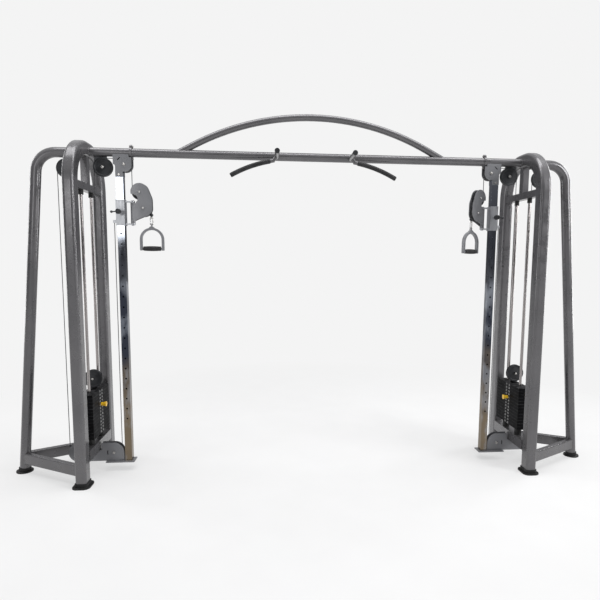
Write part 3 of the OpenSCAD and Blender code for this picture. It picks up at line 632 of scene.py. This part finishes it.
# ---------- pull-up grips ----------
PULL_X, PULL_Z = 0.266, 2.294       # the forward handles
WIDE_Y = -0.072                     # the drooping bars beside them
WIDE_TOP = Vector((0.284, 2.262))   # where a drooping bar starts, as x and z
WIDE_R, WIDE_TILT = 0.9, 9          # its bend radius, and its slope there in degrees
SLEEVE_FROM, SLEEVE_TURN = 1.8, 19.2    # degrees along the bend
SLEEVE_STEPS, SLEEVE_RIBS = 140, 46


def sleeve_radius(t):
    """Raised ribs between two rounded ends, each three steps long."""
    end = 3 / SLEEVE_STEPS
    cap = min(1.0, t / end, (1 - t) / end)
    rib = 0.35 * math.cos(2 * math.pi * t * SLEEVE_RIBS)
    return (13.2 + 3.1 * math.sqrt(max(cap, 0)) + rib * (cap == 1)) * MM


for side_name, side in SIDES.items():
    # moulded sleeve on the drooping bar
    start = math.radians(90 - WIDE_TILT)
    centre = WIDE_TOP - Vector((math.cos(start), math.sin(start))) * WIDE_R
    sleeve = bmesh.new()
    path = []
    for k in range(SLEEVE_STEPS + 1):
        a = start - math.radians(SLEEVE_FROM + SLEEVE_TURN * k / SLEEVE_STEPS)
        p = centre + Vector((math.cos(a), math.sin(a))) * WIDE_R
        path.append((side * p.x, WIDE_Y, p.y))
    sweep(sleeve, path, sleeve_radius, 28)
    grip = piece(f"{side_name}_pullup_sleeve", sleeve, MATERIALS["grip_rubber"], "frame")
    if side_name == "left":
        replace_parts(grip, "pullup_grips")
    # plug in the front end of each forward handle
    plug = bmesh.new()
    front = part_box("pullup_bars")[0][1]
    cap = [(0, -1), (17.6, -1), (18, 1), (18, 9), (16, 12.4), (11, 13.8), (0, 14)]
    lathe(plug, [(r * MM, h * MM) for r, h in cap], (side * PULL_X, front, PULL_Z), FRONT)
    piece(f"{side_name}_bar_plug", plug, MATERIALS["black_plastic"], "frame")


# ---------- pull pin knob ----------
for side_name in SIDES:
    j = joints[f"{side_name}_pull_pin_slide"]
    x, z = j["pos_m"][0], j["pos_m"][2]
    knob = bmesh.new()
    flutes, flute_depth, steps = 10, 0.7, 80
    y0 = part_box(f"{side_name}_pull_pin")[0][1] / MM - 0.4
    rings = []
    for y, r in ((0, 12), (0.8, 15.5), (3.4, 17.2), (24.4, 17.2), (26.9, 16.4), (28, 13)):
        row = []
        for a in around(steps):
            out = (r + flute_depth * math.cos(flutes * a)) * MM
            row.append(knob.verts.new((x + out * math.cos(a), (y0 + y) * MM, z + out * math.sin(a))))
        rings.append(row)
    for a, b in zip(rings, rings[1:]):
        wall(knob, a, b)
    knob.faces.new(rings[0])
    knob.faces.new(list(reversed(rings[-1])))
    piece(f"{side_name}_fluted_knob", knob, MATERIALS["black_plastic"],
          f"{side_name}_latch")


# ---------- stage, light and camera ----------
BACKDROP = 0.905    # brightness of the backdrop that the camera sees
REACH = 30          # half the floor's width
floor_mesh = bpy.data.meshes.new("floor")
corners = [(-REACH, -REACH, 0), (REACH, -REACH, 0), (REACH, REACH, 0), (-REACH, REACH, 0)]
floor_mesh.from_pydata(corners, [], [(0, 1, 2, 3)])
floor = bpy.data.objects.new("floor", floor_mesh)
bpy.context.scene.collection.objects.link(floor)
m = Material("pale_floor")
tone = m.mix(m.span(m.noise(3, 4), 0.3, 0.7), (0.70, 0.70, 0.70), (0.73, 0.73, 0.73))
m.finish(tone, 0.9, 0.0, m.noise(300, 2), 0.02, 0.0005)
# the floor fades into the backdrop away from the machine
away = m.nodes.new("ShaderNodeVectorMath")
away.operation = "LENGTH"
m.links.new(m.coords, away.inputs[0])
glow = m.nodes.new("ShaderNodeEmission")
glow.inputs["Color"].default_value = (BACKDROP, BACKDROP, BACKDROP, 1)
blend_node = m.nodes.new("ShaderNodeMixShader")
m.put(blend_node.inputs["Fac"], m.span(away.outputs["Value"], 1.6, 4.0, 0.5, 1.0))
m.links.new(m.shader.outputs[0], blend_node.inputs[1])
m.links.new(glow.outputs[0], blend_node.inputs[2])
m.links.new(blend_node.outputs[0], m.nodes["Material Output"].inputs["Surface"])
floor_mesh.materials.append(m.material)

# the camera sees a pale backdrop; reflections see a dark band between a grey floor and a pale ceiling
world = bpy.data.worlds.new("studio")
world.use_nodes = True
bpy.context.scene.world = world
n, links = world.node_tree.nodes, world.node_tree.links
coords = n.new("ShaderNodeTexCoord").outputs["Generated"]
split = n.new("ShaderNodeSeparateXYZ")
links.new(coords, split.inputs[0])
ramp = n.new("ShaderNodeValToRGB")
ground, ceiling = ramp.color_ramp.elements
ground.position, ground.color = 0.42, (0.34, 0.33, 0.33, 1)
ceiling.position, ceiling.color = 0.80, (0.85, 0.85, 0.86, 1)
ramp.color_ramp.elements.new(0.52).color = (0.07, 0.07, 0.08, 1)
half_up = n.new("ShaderNodeMapRange")
half_up.inputs["From Min"].default_value = -1
links.new(split.outputs["Z"], half_up.inputs["Value"])
links.new(half_up.outputs["Result"], ramp.inputs["Fac"])
seen = n.new("ShaderNodeMix")
seen.data_type = "RGBA"
links.new(n.new("ShaderNodeLightPath").outputs["Is Camera Ray"], seen.inputs["Factor"])
links.new(ramp.outputs["Color"], seen.inputs[MIX_A])
seen.inputs[MIX_B].default_value = (BACKDROP, BACKDROP, BACKDROP, 1)
links.new(seen.outputs[MIX_RESULT], n["Background"].inputs["Color"])


def soft_light(name, place, target, size, power):
    """Rectangular panel that faces its target. The size is in metres and the power in watts."""
    data = bpy.data.lights.new(name, "AREA")
    data.shape, data.size, data.size_y, data.energy = "RECTANGLE", size[0], size[1], power
    lamp = bpy.data.objects.new(name, data)
    lamp.location = place
    lamp.rotation_euler = (Vector(target) - Vector(place)).to_track_quat("-Z", "Y").to_euler()
    lamp.visible_camera = False
    bpy.context.scene.collection.objects.link(lamp)


soft_light("key", (5.8, -3.6, 3.6), (1.0, 0, 1.2), (1.8, 2.8), 190)
# stands where the left column mirrors it above and below its carriage
soft_light("fill", (-2.75, -4.6, 2.35), (-1.2, 0, 1.4), (0.7, 0.9), 14)
soft_light("overhead", (0, -0.4, 5.2), (0, 0, 0), (6, 1.6), 135)
soft_light("left_rim", (-5.2, 1.8, 2.4), (-1.6, 0, 1.2), (1.0, 3.6), 60)
soft_light("right_rim", (5.2, 1.8, 2.4), (1.6, 0, 1.2), (1.0, 3.6), 90)

# camera at chest height in front of the machine, a little left of its middle and turned to the right
camera = bpy.data.cameras.new("camera")
view = bpy.data.objects.new("camera", camera)
bpy.context.scene.collection.objects.link(view)
CAMERA_AT = (-0.312, -3.822, 1.569)
turn, dip, roll = math.radians(5.4), math.radians(6.3), math.radians(0.46)
ahead = Vector((math.sin(turn) * math.cos(dip), math.cos(turn) * math.cos(dip), -math.sin(dip)))
right = Vector((math.cos(turn), -math.sin(turn), 0))
up = right.cross(ahead)
right, up = right * math.cos(roll) + up * math.sin(roll), up * math.cos(roll) - right * math.sin(roll)
facing = Matrix((right, up, -ahead)).transposed().to_4x4()
view.matrix_world = Matrix.Translation(CAMERA_AT) @ facing
camera.lens = 30.8
camera.shift_x, camera.shift_y = -0.0317, 0.0267
bpy.context.scene.camera = view
bpy.context.scene.view_settings.view_transform = "Standard"
